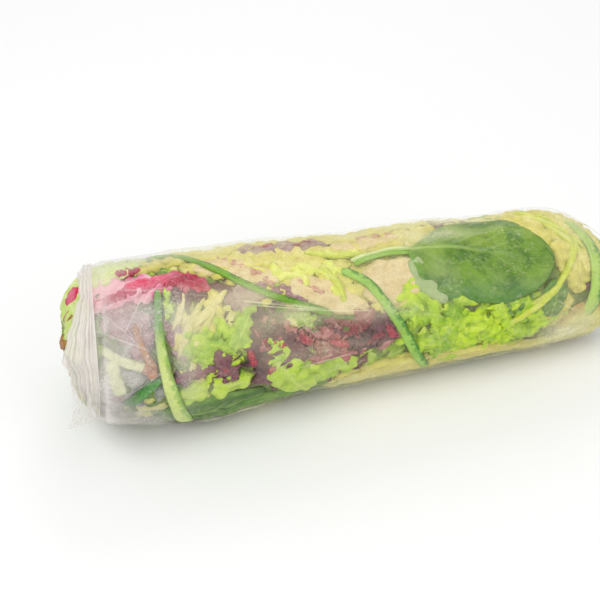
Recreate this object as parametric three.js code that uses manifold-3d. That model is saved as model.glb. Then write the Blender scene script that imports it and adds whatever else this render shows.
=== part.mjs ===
// A fresh rice paper roll: a tube of translucent rice paper round a bundle of
// salad leaves, with the larger leaves and the green strips lying under the paper.
// Millimetres, +Z up, the roll along X. A place on the roll is a station (mm along
// X), an angle (0 faces the front, -Y, and 90 faces up) and a depth under the paper.
import * as THREE from 'three'
import { mergeVertices } from 'three/addons/utils/BufferGeometryUtils.js'
import Module from 'manifold-3d'

// The roll's body
const LEFT_END = -88
const RIGHT_END = 90
const MIDDLE_RADIUS = 24.2
const TAPER = 0.0275
const LEFT_ROUNDING = 15
const RIGHT_ROUNDING = 14
const AXIS_HEIGHT_SHARE = 0.965

// The layers, from the outside in
const PAPER_WALL = 1.2
const GAP = 0.35
const LEAF_THICKNESS = 1.0
const UPPER_LAYER = PAPER_WALL + GAP
const BUNDLE_DEPTH = UPPER_LAYER + 0.15
const LOWER_LAYER = UPPER_LAYER + LEAF_THICKNESS + GAP

// The paper's free edge, a low step that climbs as it runs to the left
const SEAM_ANGLE = 36
const SEAM_SLOPE = -0.62
const SEAM_STEP = 0.5
const SEAM_RUN_OUT = 90

// The loose pleated paper at the left end
const SKIRT_TOP_ANGLE = 118
const SKIRT_BOTTOM_ANGLE = -32
const SKIRT_THICKNESS = 0.8
const SKIRT_ROOT = 0.5
const SKIRT_FULLNESS = 0.94
const SKIRT_PLEATS = 5.5
const SKIRT_PLEAT_HEIGHT = 0.5

// Soft swells and dips where the leaves push the paper out
const SWELLS = [
  { station: -58, angle: -40, height: 0.8, length: 18, spread: 30 },
  { station: -38, angle: -35, height: -0.6, length: 10, spread: 28 },
  { station: -22, angle: 100, height: 0.6, length: 14, spread: 30 },
  { station: 5, angle: 100, height: -0.7, length: 12, spread: 30 },
  { station: 26, angle: 108, height: 0.9, length: 10, spread: 26 },
  { station: 42, angle: 100, height: -0.4, length: 8, spread: 24 },
  { station: 67, angle: 105, height: 1.0, length: 10, spread: 26 },
  { station: 52, angle: -30, height: 0.5, length: 16, spread: 30 },
  { station: -28, angle: 205, height: 0.7, length: 22, spread: 34 },
  { station: 40, angle: 200, height: 0.6, length: 18, spread: 32 }
]

const wasm = await Module()
wasm.setup()

const radians = degrees => degrees * Math.PI / 180
const blend = (from, to, share) => from + (to - from) * share
const smooth = share => THREE.MathUtils.smoothstep(share, 0, 1)

function turnBetween (angle, other) {
  return ((angle - other + 540) % 360 + 360) % 360 - 180
}

function bodyRadius (station) {
  return MIDDLE_RADIUS - TAPER * station
}

function endShare (station) {
  const left = THREE.MathUtils.clamp((station - LEFT_END) / LEFT_ROUNDING, 0, 1)
  const right = THREE.MathUtils.clamp((RIGHT_END - station) / RIGHT_ROUNDING, 0, 1)
  return Math.sqrt(1 - (1 - left) ** 2) * Math.sqrt(1 - (1 - right) ** 2)
}

function swell (station, angle) {
  let height = 0
  for (const lump of SWELLS) {
    const along = (station - lump.station) / lump.length
    const around = turnBetween(angle, lump.angle) / lump.spread
    height += lump.height * Math.exp(-along * along - around * around)
  }
  const turn = radians(angle)
  const lumpy = Math.sin(station * 0.21 + 2 * turn) * Math.sin(4 * turn - station * 0.09)
  return height + 0.3 * lumpy
}

function seamHeight (station, angle) {
  const above = turnBetween(angle, SEAM_ANGLE + SEAM_SLOPE * station)
  if (above < 0 || above > SEAM_RUN_OUT) {
    return 0
  }
  return SEAM_STEP * (1 - smooth(above / SEAM_RUN_OUT))
}

// A point at a distance from the roll's axis, no lower than the flat it rests on
function aroundAxis (station, angle, radius, floor) {
  const axisHeight = bodyRadius(station) * AXIS_HEIGHT_SHARE
  const y = -radius * Math.cos(radians(angle))
  const z = axisHeight + radius * Math.sin(radians(angle))
  return new THREE.Vector3(station, y, Math.max(z, floor))
}

function skin (station, angle) {
  const radius = bodyRadius(station) + swell(station, angle)
  return aroundAxis(station, angle, radius * endShare(station), 0)
}

// A point under the roll's skin, measured at right angles to it
function underSkin (station, angle, depth) {
  const held = THREE.MathUtils.clamp(station, LEFT_END + 0.6, RIGHT_END - 0.6)
  const along = skin(held + 0.3, angle).sub(skin(held - 0.3, angle))
  const around = skin(held, angle + 1).sub(skin(held, angle - 1))
  const inward = around.cross(along).normalize()
  const point = skin(station, angle).addScaledVector(inward, depth)
  point.z = Math.max(point.z, depth)
  return point
}

// Moves each corner of a three.js geometry and closes it into one welded mesh
function reshaped (geometry, place) {
  const position = geometry.getAttribute('position')
  const corner = new THREE.Vector3()
  for (let i = 0; i < position.count; i++) {
    corner.fromBufferAttribute(position, i)
    const moved = place(corner)
    position.setXYZ(i, moved.x, moved.y, moved.z)
  }
  geometry.deleteAttribute('normal')
  geometry.deleteAttribute('uv')
  return facingOut(mergeVertices(geometry, 0.001))
}

function facingOut (geometry) {
  const position = geometry.getAttribute('position')
  const index = geometry.getIndex()
  const [a, b, c] = [new THREE.Vector3(), new THREE.Vector3(), new THREE.Vector3()]
  let volume = 0
  for (let i = 0; i < index.count; i += 3) {
    a.fromBufferAttribute(position, index.getX(i))
    b.fromBufferAttribute(position, index.getX(i + 1))
    c.fromBufferAttribute(position, index.getX(i + 2))
    volume += a.dot(b.cross(c))
  }
  if (volume < 0) {
    for (let i = 0; i < index.count; i += 3) {
      const first = index.getX(i)
      index.setX(i, index.getX(i + 1))
      index.setX(i + 1, first)
    }
  }
  return geometry
}

function toSolid (geometry) {
  return new wasm.Manifold(new wasm.Mesh({
    numProp: 3,
    vertProperties: new Float32Array(geometry.getAttribute('position').array),
    triVerts: new Uint32Array(geometry.getIndex().array)
  }))
}

function toGeometry (solid) {
  const mesh = solid.getMesh()
  const geometry = new THREE.BufferGeometry()
  geometry.setAttribute('position', new THREE.BufferAttribute(new Float32Array(mesh.vertProperties), 3))
  geometry.setIndex(new THREE.BufferAttribute(new Uint32Array(mesh.triVerts), 1))
  return mergeVertices(geometry, 0.001)
}

// A leaf or strip that lies along a line of [station, angle] places under the skin
function layer (spec, margin = 0) {
  const line = new THREE.SplineCurve(spec.line.map(([station, angle]) => new THREE.Vector2(station, angle)))
  const slab = new THREE.BoxGeometry(1, 1, 1, spec.steps, spec.lanes, 1)
  const top = margin > 0 ? PAPER_WALL * 0.5 : spec.depth
  const bottom = spec.depth + LEAF_THICKNESS + margin
  return reshaped(slab, corner => {
    const share = corner.x + 0.5
    const middle = line.getPoint(share)
    const course = line.getTangent(share)
    const arc = radians(1) * bodyRadius(middle.x)
    const heading = new THREE.Vector2(course.x, course.y * arc).normalize()
    const across = 2 * corner.y * (spec.halfWidth(share) + margin)
    const ahead = margin * THREE.MathUtils.clamp(4 * corner.x, -1, 1)
    const station = middle.x - heading.y * across + heading.x * ahead
    const angle = middle.y + (heading.x * across + heading.y * ahead) / arc
    return underSkin(station, angle, blend(top, bottom, corner.z + 0.5))
  })
}

const stripWidth = width => () => width / 2

const leafWidth = (width, tipWidth, ripple) => share => {
  const bow = Math.sin(Math.PI * blend(0.04, 0.97, share)) ** 0.6
  return Math.max(tipWidth, width / 2 * bow * (1 + ripple * Math.sin(share * 31)))
}

function stalkedLeafWidth (share) {
  const STALK_SHARE = 0.3
  const STALK_HALF_WIDTH = 1.2
  const BLADE_HALF_WIDTH = 17
  if (share < STALK_SHARE) {
    return STALK_HALF_WIDTH
  }
  const along = (share - STALK_SHARE) / (1 - STALK_SHARE)
  return Math.max(STALK_HALF_WIDTH, BLADE_HALF_WIDTH * Math.sin(Math.PI * Math.min(along ** 0.72, 0.985)) ** 0.62)
}

const LAYERS = [
  {
    name: 'spinach_leaf',
    colour: 0x2f6b33,
    line: [[0, 76], [9, 81], [18, 79], [34, 72], [50, 54], [62, 40]],
    halfWidth: stalkedLeafWidth,
    depth: UPPER_LAYER,
    steps: 20,
    lanes: 6
  },
  {
    name: 'radicchio_leaf',
    colour: 0xb02a5c,
    line: [[-77, 84], [-66, 86], [-56, 79], [-45, 65]],
    halfWidth: leafWidth(17, 2.5, 0.08),
    depth: LOWER_LAYER,
    steps: 14,
    lanes: 5
  },
  {
    name: 'green_strip_long',
    colour: 0x5d8a2f,
    line: [[-64, 124], [-56, 106], [-48, 92], [-38, 70], [-24, 49], [-10, 39]],
    halfWidth: stripWidth(2.1),
    depth: UPPER_LAYER,
    steps: 16,
    lanes: 1
  },
  {
    name: 'green_strip_bent',
    colour: 0x4f7f2e,
    line: [[-4, 71], [2, 59], [6, 43], [10, 23], [14, 0], [21, -36]],
    halfWidth: stripWidth(2.6),
    depth: UPPER_LAYER,
    steps: 16,
    lanes: 1
  },
  {
    name: 'green_strip_left',
    colour: 0x6f9440,
    line: [[-60, 72], [-61, 47], [-59, 21], [-57, -14], [-54, -44]],
    halfWidth: share => blend(1.5, 2.3, share),
    depth: UPPER_LAYER,
    steps: 14,
    lanes: 1
  },
  {
    name: 'green_strip_end',
    colour: 0x6c9a3a,
    line: [[74, 96], [77, 67], [77, 40], [75, 15], [72, -20]],
    halfWidth: stripWidth(4.2),
    depth: UPPER_LAYER,
    steps: 14,
    lanes: 2
  },
  {
    name: 'green_stub',
    colour: 0x3c6a34,
    line: [[-72, -6], [-69, 3], [-64, 12]],
    halfWidth: stripWidth(3.0),
    depth: UPPER_LAYER,
    steps: 6,
    lanes: 2
  },
  {
    name: 'lettuce_leaf_left',
    colour: 0x8fb944,
    line: [[-70.5, 120], [-77, 122], [-82, 124], [-85.4, 126]],
    halfWidth: share => blend(18, 7, smooth(share)),
    depth: UPPER_LAYER,
    steps: 8,
    lanes: 8
  },
  {
    name: 'brown_edged_leaf_right',
    colour: 0xb9b25a,
    line: [[66, -34], [75, -30], [83, -26], [88.4, -22]],
    halfWidth: leafWidth(30, 4, 0.04),
    depth: LOWER_LAYER,
    steps: 9,
    lanes: 7
  }
]

// The paper's rims: they slant, so the leaves show more at the back of the left end
// and under the right end
const leftRim = angle => -79.5 - 3 * Math.cos(radians(angle))
const rightRim = angle => 82 + 3.5 * Math.sin(radians(angle))

// How finely the tube and the bundle are faceted
const ROLL_TURNS = 26
const ROLL_STEPS = 30
const CAP_STEPS = 4
const FINER_AT_ENDS = 0.09
const SIMPLIFY_TOLERANCE = 0.12

function alongTube (angle, share) {
  const eased = share - FINER_AT_ENDS * Math.sin(2 * Math.PI * share)
  return blend(leftRim(angle), rightRim(angle), eased)
}

const angleOf = corner => THREE.MathUtils.radToDeg(Math.atan2(corner.z, corner.x))

// The tube of paper, a turned wall whose corners are then laid onto the roll
function paperTube () {
  const outline = []
  for (let i = 0; i <= ROLL_STEPS; i++) {
    outline.push(new THREE.Vector2(2, i / ROLL_STEPS))
  }
  for (let i = ROLL_STEPS; i >= 0; i--) {
    outline.push(new THREE.Vector2(1, i / ROLL_STEPS))
  }
  outline.push(outline[0].clone())
  return reshaped(new THREE.LatheGeometry(outline, ROLL_TURNS), corner => {
    const angle = angleOf(corner)
    const station = alongTube(angle, corner.y)
    const outside = Math.hypot(corner.x, corner.z) > 1.5
    return underSkin(station, angle, outside ? -seamHeight(station, angle) : PAPER_WALL)
  })
}

// The loose band of pleated paper that stands off the front of the left end
function paperSkirt () {
  const band = new THREE.BoxGeometry(1, 1, 1, 26, 3, 1)
  return reshaped(band, corner => {
    const round = corner.x + 0.5
    const angle = blend(SKIRT_BOTTOM_ANGLE, SKIRT_TOP_ANGLE, round)
    const fold = blend(-80.5, -71.5, round)
    const teeth = 1.3 * Math.sin(round * 23) * (1 - round)
    const rim = blend(-88.5, -77.5, smooth(round * 1.1 - 0.1)) + teeth
    const outward = 0.5 - corner.y
    const station = blend(fold, rim, outward)
    const pleat = SKIRT_PLEAT_HEIGHT * Math.sin(2 * Math.PI * SKIRT_PLEATS * round) * outward
    const lift = blend(SKIRT_THICKNESS, 1.7, outward * Math.sin(Math.PI * blend(0.2, 0.9, round)))
    const height = corner.z > 0 ? lift + pleat : -SKIRT_ROOT
    const hold = Math.max(endShare(station), SKIRT_FULLNESS)
    const radius = (bodyRadius(station) + swell(station, angle)) * hold + height
    return aroundAxis(station, angle, radius, 0.2)
  })
}

// The bundle of mixed leaves inside, out to its uneven outline, grooved by the
// leaves and strips that lie on it
function saladSolid () {
  const outline = [new THREE.Vector2(0, -1)]
  for (let i = -CAP_STEPS + 1; i < 0; i++) {
    outline.push(new THREE.Vector2(1, i / CAP_STEPS))
  }
  for (let i = 0; i <= ROLL_STEPS; i++) {
    outline.push(new THREE.Vector2(1, i / ROLL_STEPS))
  }
  for (let i = 1; i < CAP_STEPS; i++) {
    outline.push(new THREE.Vector2(1, 1 + i / CAP_STEPS))
  }
  outline.push(new THREE.Vector2(0, 2))
  const bundle = reshaped(new THREE.LatheGeometry(outline, ROLL_TURNS), corner => {
    if (Math.hypot(corner.x, corner.z) < 0.5) {
      const pole = corner.y < 0 ? LEFT_END + BUNDLE_DEPTH : RIGHT_END - BUNDLE_DEPTH
      return aroundAxis(pole, 0, 0, 0)
    }
    const angle = angleOf(corner)
    let station = alongTube(angle, THREE.MathUtils.clamp(corner.y, 0, 1))
    if (corner.y < 0) {
      station = blend(leftRim(angle), LEFT_END, -corner.y)
    }
    if (corner.y > 1) {
      station = blend(rightRim(angle), RIGHT_END, corner.y - 1)
    }
    return underSkin(station, angle, BUNDLE_DEPTH)
  })
  let solid = toSolid(bundle)
  for (const spec of LAYERS) {
    solid = solid.subtract(toSolid(layer(spec, GAP)))
  }
  return toGeometry(solid.simplify(SIMPLIFY_TOLERANCE))
}

function named (name, geometry, colour, roughness) {
  geometry.computeVertexNormals()
  const material = new THREE.MeshStandardMaterial({ color: colour, roughness, metalness: 0 })
  const mesh = new THREE.Mesh(geometry, material)
  mesh.name = name
  return mesh
}

const roll = new THREE.Group()
const paper = toGeometry(toSolid(paperTube()).add(toSolid(paperSkirt())))
roll.add(named('rice_paper', paper, 0xdde3cf, 0.35))
roll.add(named('salad_filling', saladSolid(), 0x8fa64d, 0.6))
for (const spec of LAYERS) {
  roll.add(named(spec.name, layer(spec), spec.colour, 0.5))
}

// The origin is the middle of the roll's box, on the surface that it lies on
const box = new THREE.Box3().setFromObject(roll)
const middle = box.getCenter(new THREE.Vector3())
roll.position.set(-middle.x, -middle.y, -box.min.z)
const group = new THREE.Group()
group.add(roll)

export default group
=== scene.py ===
"""Looks of a fresh rice paper roll: salad leaves and green strips under a translucent sheet.

A place on the roll is a station (mm along X), an angle (0 faces the front, -Y, and 90
faces up) and a depth under the roll's skin (mm). Blender's own units are metres.
"""

import math
from collections import namedtuple

import bpy
import numpy as np
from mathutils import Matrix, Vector
from mathutils.bvhtree import BVHTree


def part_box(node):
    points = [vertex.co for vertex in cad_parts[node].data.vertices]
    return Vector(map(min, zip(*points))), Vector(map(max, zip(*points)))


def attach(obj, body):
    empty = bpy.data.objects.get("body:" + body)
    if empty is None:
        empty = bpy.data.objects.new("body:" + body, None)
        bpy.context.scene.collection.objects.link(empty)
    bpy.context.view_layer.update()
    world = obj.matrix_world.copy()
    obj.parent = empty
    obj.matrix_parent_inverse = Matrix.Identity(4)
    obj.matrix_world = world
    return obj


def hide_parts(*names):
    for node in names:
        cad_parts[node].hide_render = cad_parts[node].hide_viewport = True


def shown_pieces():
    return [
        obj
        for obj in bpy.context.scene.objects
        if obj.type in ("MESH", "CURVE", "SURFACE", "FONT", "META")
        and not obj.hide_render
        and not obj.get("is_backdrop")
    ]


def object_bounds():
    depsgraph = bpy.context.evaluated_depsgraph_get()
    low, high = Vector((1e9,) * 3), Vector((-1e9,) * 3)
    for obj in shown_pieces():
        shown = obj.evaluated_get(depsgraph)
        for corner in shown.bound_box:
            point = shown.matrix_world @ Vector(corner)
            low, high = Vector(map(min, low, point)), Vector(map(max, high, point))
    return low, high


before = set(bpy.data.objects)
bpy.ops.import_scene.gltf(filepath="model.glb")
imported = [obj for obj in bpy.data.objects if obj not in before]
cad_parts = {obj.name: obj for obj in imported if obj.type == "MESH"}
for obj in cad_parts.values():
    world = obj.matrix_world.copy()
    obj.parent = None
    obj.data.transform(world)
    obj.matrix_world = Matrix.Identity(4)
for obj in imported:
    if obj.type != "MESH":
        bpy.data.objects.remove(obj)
CAD_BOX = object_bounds()

bl_info = {
    "name": "Rice paper roll",
    "version": (1, 0, 0),
    "blender": (4, 5, 0),
    "location": "3D View > Sidebar > Roll",
    "description": "Models a fresh salad roll in translucent rice paper",
    "category": "Add Mesh",
}

MM = 0.001
BUNDLE_LOW, BUNDLE_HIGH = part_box("salad_filling")

# The roll's body in mm, as the solid parts have it
BUNDLE_DEPTH = 1.7
LEFT_END = BUNDLE_LOW.x / MM - 2.2
RIGHT_END = BUNDLE_HIGH.x / MM + BUNDLE_DEPTH
LEFT_ROUNDING = 15.0
RIGHT_ROUNDING = 14.0
MIDDLE_RADIUS = 24.2
TAPER = 0.0275
AXIS_HEIGHT_SHARE = 0.965

# Thickness of the wet sheet, in metres
WET_SHEET = 0.00025
# The nearest to the skin that a leaf comes, under the sheet and beyond its left rim, in mm
NEAREST = 0.5
NEAREST_OUTSIDE = -0.2
SHEET_STARTS = -80
# How far the ridges of a leaf rise above its own depth
RIDGE_RISE = 0.35
STRIP_DEPTH = 0.55
CORE_DEPTH = 3.0

Swell = namedtuple("Swell", "station angle height length spread")
SWELLS = (
    Swell(-58, -40, 0.8, 18, 30),
    Swell(-38, -35, -0.6, 10, 28),
    Swell(-22, 100, 0.6, 14, 30),
    Swell(5, 100, -0.7, 12, 30),
    Swell(26, 108, 0.9, 10, 26),
    Swell(42, 100, -0.4, 8, 24),
    Swell(67, 105, 1.0, 10, 26),
    Swell(52, -30, 0.5, 16, 30),
    Swell(-28, 205, 0.7, 22, 34),
    Swell(40, 200, 0.6, 18, 32),
    Swell(-76, -52, -3.4, 13, 38),
    Swell(-42, -50, 1.4, 13, 34),
    Swell(-82, 118, -2.2, 15, 40),
    Swell(84, 108, -5.0, 11, 50),
)


# ---------------------------------------------------------------- the roll's skin


def smooth(low, high, value):
    share = np.clip((value - low) / (high - low), 0, 1)
    return share * share * (3 - 2 * share)


def turn_between(angle, other):
    return (angle - other + 180) % 360 - 180


def body_radius(station):
    return MIDDLE_RADIUS - TAPER * station


def end_share(station):
    left = np.clip((station - LEFT_END) / LEFT_ROUNDING, 0, 1)
    right = np.clip((RIGHT_END - station) / RIGHT_ROUNDING, 0, 1)
    return np.sqrt(1 - (1 - left) ** 2) * np.sqrt(1 - (1 - right) ** 2)


def swell_height(station, angle):
    height = 0.0
    for lump in SWELLS:
        along = (station - lump.station) / lump.length
        around = turn_between(angle, lump.angle) / lump.spread
        height = height + lump.height * np.exp(-along * along - around * around)
    turn = np.radians(angle)
    return height + 0.3 * np.sin(station * 0.21 + 2 * turn) * np.sin(4 * turn - station * 0.09)


def skin(station, angle, fullness=None):
    """Points of the roll's skin in mm, one row each."""
    share = end_share(station) if fullness is None else fullness
    radius = (body_radius(station) + swell_height(station, angle)) * share
    turn = np.radians(angle)
    height = body_radius(station) * AXIS_HEIGHT_SHARE + radius * np.sin(turn)
    return np.stack((station + 0 * turn, -radius * np.cos(turn), np.maximum(height, 0)), -1)


def inward(station, angle, fullness=None):
    """Directions at right angles to the skin, into the roll."""
    held = np.clip(station, LEFT_END + 0.6, RIGHT_END - 0.6)
    along = skin(held + 0.3, angle, fullness) - skin(held - 0.3, angle, fullness)
    around = skin(held, angle + 1, fullness) - skin(held, angle - 1, fullness)
    normal = np.cross(around, along)
    return normal / np.maximum(np.linalg.norm(normal, axis=-1, keepdims=True), 1e-9)


def under_skin(station, angle, depth, fullness=None):
    """Points at a depth under the skin, in mm."""
    station, angle, depth = np.broadcast_arrays(*np.atleast_1d(station, angle, depth))
    points = skin(station, angle, fullness) + inward(station, angle, fullness) * depth[..., None]
    points[..., 2] = np.maximum(points[..., 2], np.maximum(depth, 0))
    return points


def arc_per_degree(station):
    return np.radians(1) * body_radius(station)


# ---------------------------------------------------------------- modelling by hand


def alone(piece):
    """Leaves only one piece selected and active."""
    bpy.ops.object.select_all(action="DESELECT")
    piece.select_set(True)
    bpy.context.view_layer.objects.active = piece


def grid_piece(name, along_steps, across_steps):
    """A flat grid to be laid onto the roll, with u and v from 0 to 1 for each of its points."""
    bpy.ops.object.select_all(action="DESELECT")
    bpy.ops.mesh.primitive_grid_add(
        x_subdivisions=along_steps, y_subdivisions=across_steps, size=1, calc_uvs=True
    )
    piece = bpy.context.active_object
    piece.name = name
    piece.data.name = name
    flat = np.empty(len(piece.data.vertices) * 3)
    piece.data.vertices.foreach_get("co", flat)
    flat = flat.reshape(-1, 3)
    return piece, flat[:, 0] + 0.5, flat[:, 1] + 0.5


def place_points(piece, points_mm):
    piece.data.vertices.foreach_set("co", (points_mm * MM).ravel())
    piece.data.update()


def mark(piece, attribute, values):
    """Keeps a number for each point of a piece, for its finish to read."""
    layer = piece.data.attributes.new(attribute, "FLOAT", "POINT")
    layer.data.foreach_set("value", np.broadcast_to(values, len(piece.data.vertices)).astype(np.float32))


def modify(piece, kind, **settings):
    """Adds one modifier and applies it."""
    alone(piece)
    bpy.ops.object.modifier_add(type=kind)
    modifier = piece.modifiers[-1]
    for setting, value in settings.items():
        setattr(modifier, setting, value)
    bpy.ops.object.modifier_apply(modifier=modifier.name)


def facing_out(piece):
    """Turns a closed piece's faces outwards."""
    alone(piece)
    bpy.ops.object.mode_set(mode="EDIT")
    bpy.ops.mesh.select_all(action="SELECT")
    bpy.ops.mesh.normals_make_consistent(inside=False)
    bpy.ops.object.mode_set(mode="OBJECT")


def weld(piece, distance_mm):
    alone(piece)
    bpy.ops.object.mode_set(mode="EDIT")
    bpy.ops.mesh.select_all(action="SELECT")
    bpy.ops.mesh.remove_doubles(threshold=distance_mm * MM)
    bpy.ops.object.mode_set(mode="OBJECT")


def join(pieces, name):
    bpy.ops.object.select_all(action="DESELECT")
    for piece in pieces:
        piece.select_set(True)
    bpy.context.view_layer.objects.active = pieces[0]
    bpy.ops.object.join()
    whole = bpy.context.active_object
    whole.name = name
    whole.data.name = name
    return whole


def thicken(piece, thickness):
    """Gives a sheet its wall, and marks the face of it that is seen."""
    count = len(piece.data.vertices)
    modify(piece, "SOLIDIFY", thickness=thickness, offset=-1.0)
    mark(piece, "outer_face", (np.arange(len(piece.data.vertices)) < count).astype(float))


def finished(piece, finish, nodes):
    """Gives a piece its finish and its place in the roll."""
    alone(piece)
    bpy.ops.object.shade_smooth()
    piece.data.materials.clear()
    piece.data.materials.append(finish)
    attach(piece, "root")
    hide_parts(*nodes)
    return piece


def crumple(x, y, size, seed):
    """A soft uneven field between about -1 and 1, with dents of the given size."""
    draw = np.random.default_rng(seed)
    field = 0.0
    for _ in range(7):
        course = draw.uniform(0, 2 * math.pi)
        pitch = 2 * math.pi / (size * draw.uniform(0.7, 1.9))
        phase = draw.uniform(0, 2 * math.pi)
        ahead = x * math.cos(course) + y * math.sin(course)
        aside = x * math.sin(course) - y * math.cos(course)
        bent = draw.uniform(0.3, 0.8) * np.sin(pitch * 0.53 * aside + phase)
        field = field + np.sin(pitch * ahead + phase + 2 * bent)
    return field / 3.2


# ---------------------------------------------------------------- leaves

# Placed by the middle; heading 0 runs to the right end and 90 climbs to the back
Leaf = namedtuple("Leaf", "station angle heading length width depth bend", defaults=(0.0,))
# Leaves strewn about a place: along and around are the reach of the heap
Clump = namedtuple("Clump", "station angle along around count length width depth", defaults=(1.6,))
Habit = namedtuple("Habit", "shape ruffle waves lobes crumple thickness steps")

SHAPES = {
    "broad": lambda u: np.sin(np.pi * np.clip(u, 0.012, 0.988) ** 0.8) ** 0.55,
    "fan": lambda u: (np.clip(u, 0.02, 1) ** 0.6) * np.sqrt(1 - np.clip(u, 0, 0.985) ** 5),
    "strap": lambda u: np.sqrt(1 - np.abs(2 * np.clip(u, 0.01, 0.99) - 1) ** 6),
}

HABITS = {
    "curly": Habit("fan", 1.9, 2.6, 0.28, 0.5, 0.3, (44, 22)),
    "frilly": Habit("fan", 1.5, 5.0, 0.16, 0.45, 0.35, (44, 24)),
    "soft": Habit("broad", 0.8, 3.0, 0.07, 0.5, 0.4, (36, 20)),
    "flat": Habit("broad", 0.25, 2.0, 0.03, 0.3, 0.5, (36, 20)),
    "jagged": Habit("broad", 0.9, 3.0, 0.34, 0.4, 0.35, (34, 16)),
    "rib": Habit("strap", 0.3, 2.0, 0.05, 0.25, 0.9, (36, 8)),
}


def strewn(clump, draw):
    """The leaves of a clump, each turned and sized by chance."""
    for _ in range(clump.count):
        reach, course = math.sqrt(draw.uniform(0, 1)), draw.uniform(0, 2 * math.pi)
        size = draw.uniform(0.75, 1.25)
        yield Leaf(
            clump.station + clump.along * reach * math.cos(course),
            clump.angle + clump.around * reach * math.sin(course),
            draw.uniform(-180, 180),
            clump.length * size,
            clump.width * size,
            clump.depth + draw.uniform(-0.7, 0.9),
            draw.uniform(-1.5, 1.5),
        )


def leaf_piece(name, leaf, habit, seed):
    """One leaf of a habit, laid under the paper."""
    draw = np.random.default_rng(seed)
    piece, u, across = grid_piece(name, *habit.steps)
    v = 2 * across - 1
    edge = np.abs(v)
    side = np.where(v > 0, 1.0, -1.0)
    phase = draw.uniform(0, 2 * math.pi, 6)
    waves = habit.waves * draw.uniform(0.85, 1.2)

    lobes = np.sin(2 * math.pi * waves * 1.3 * u + phase[0] * side + phase[1])
    lobes = lobes + 0.7 * np.sin(2 * math.pi * waves * 2.9 * u + phase[2] + side)
    lobes = lobes + 0.5 * np.sin(2 * math.pi * waves * 5.3 * u + phase[5] - side)
    lobes = lobes + 0.3 * np.sin(2 * math.pi * waves * 2.9 * (u + 0.1 * np.sin(20 * u)) * side + phase[1])
    half = leaf.width / 2 * SHAPES[habit.shape](u) * (1 + habit.lobes * lobes * edge)
    s = (u - 0.5) * leaf.length
    s = s + 0.5 * habit.lobes * leaf.length * 0.1 * lobes * smooth(0.6, 1.0, u)
    t = v * half + leaf.bend * ((2 * u - 1) ** 2 - 0.33)
    ruffle_place = 2 * math.pi * waves * u + phase[3] * side + 1.9 * edge
    ruffle = np.sin(ruffle_place) + 0.45 * np.sin(2.3 * ruffle_place + phase[4] - 2 * edge)
    lift = habit.ruffle * (0.15 + 0.85 * edge**1.7)
    s = s + 0.45 * lift * np.cos(ruffle_place)
    sunk = lift * (ruffle + 1.0) * 0.75
    sunk = sunk + habit.crumple * (crumple(s, t, 4.5, seed + 1) + 0.6)
    sunk = sunk + 0.9 * smooth(0.75, 1.0, np.maximum(edge, np.abs(2 * u - 1)))
    nearest = NEAREST if leaf.station > SHEET_STARTS else NEAREST_OUTSIDE
    nearest = max(leaf.depth - RIDGE_RISE, nearest)
    depth = nearest + np.logaddexp(0, 5 * (leaf.depth - nearest + sunk)) / 5

    heading = math.radians(leaf.heading)
    station = leaf.station + math.cos(heading) * s - math.sin(heading) * t
    angle = leaf.angle + (math.sin(heading) * s + math.cos(heading) * t) / arc_per_degree(leaf.station)
    place_points(piece, under_skin(station, angle, depth))
    mark(piece, "leaf_tone", draw.uniform(0, 1))
    # 1 on a leaf's ridges and 0 deep in its folds; its finish paints shade where this is low
    mark(piece, "ridge", np.clip(1.05 - (depth - nearest) / 2.2, 0, 1))
    return piece


def leaves_piece(name, places, habit, seed):
    """Leaves of one habit, placed or strewn, as one piece."""
    draw = np.random.default_rng(seed)
    leaves = []
    for place in places:
        leaves.extend(strewn(place, draw) if isinstance(place, Clump) else [place])
    pieces = [leaf_piece(name, leaf, habit, seed + 17 * i) for i, leaf in enumerate(leaves)]
    whole = join(pieces, name)
    modify(whole, "SOLIDIFY", thickness=habit.thickness * MM, offset=0.0)
    return whole


# ---------------------------------------------------------------- finishes

# Sharp folds in the sheet: both ends as station and arc from the front in mm, width, strength
CREASES = (
    ((-38, 24.5), (-8, 17), 0.4, 0.4),
    ((-36, 23), (0, 15), 0.35, 0.4),
    ((-26, 20), (4, 15), 0.35, 0.3),
    ((-30, 24), (-12, 17), 0.3, 0.35),
    ((-25, 1.5), (-3, 3), 0.4, 0.4),
    ((-60, 33), (-71, 18), 0.35, 0.2),
    ((-77, 22), (-62, 14), 0.4, 0.25),
    ((-64, 14), (-74, 26), 0.3, 0.15),
    ((-72, 3), (-60, 9), 0.3, 0.2),
    ((-58, 12), (-50, 30), 0.5, 0.15),
    ((-20, 36), (-2, 42), 0.4, 0.2),
    ((-30, 36), (-10, 31), 0.4, 0.2),
    ((2, 44), (40, 52), 0.5, 0.2),
    ((28, 41), (44, 49), 0.5, 0.25),
    ((52, 46), (68, 34), 0.4, 0.3),
    ((54, 43), (72, 26), 0.4, 0.25),
    ((60, 9), (68, 3), 0.35, 0.3),
    ((20, -9), (52, -13), 0.5, 0.25),
)


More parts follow.
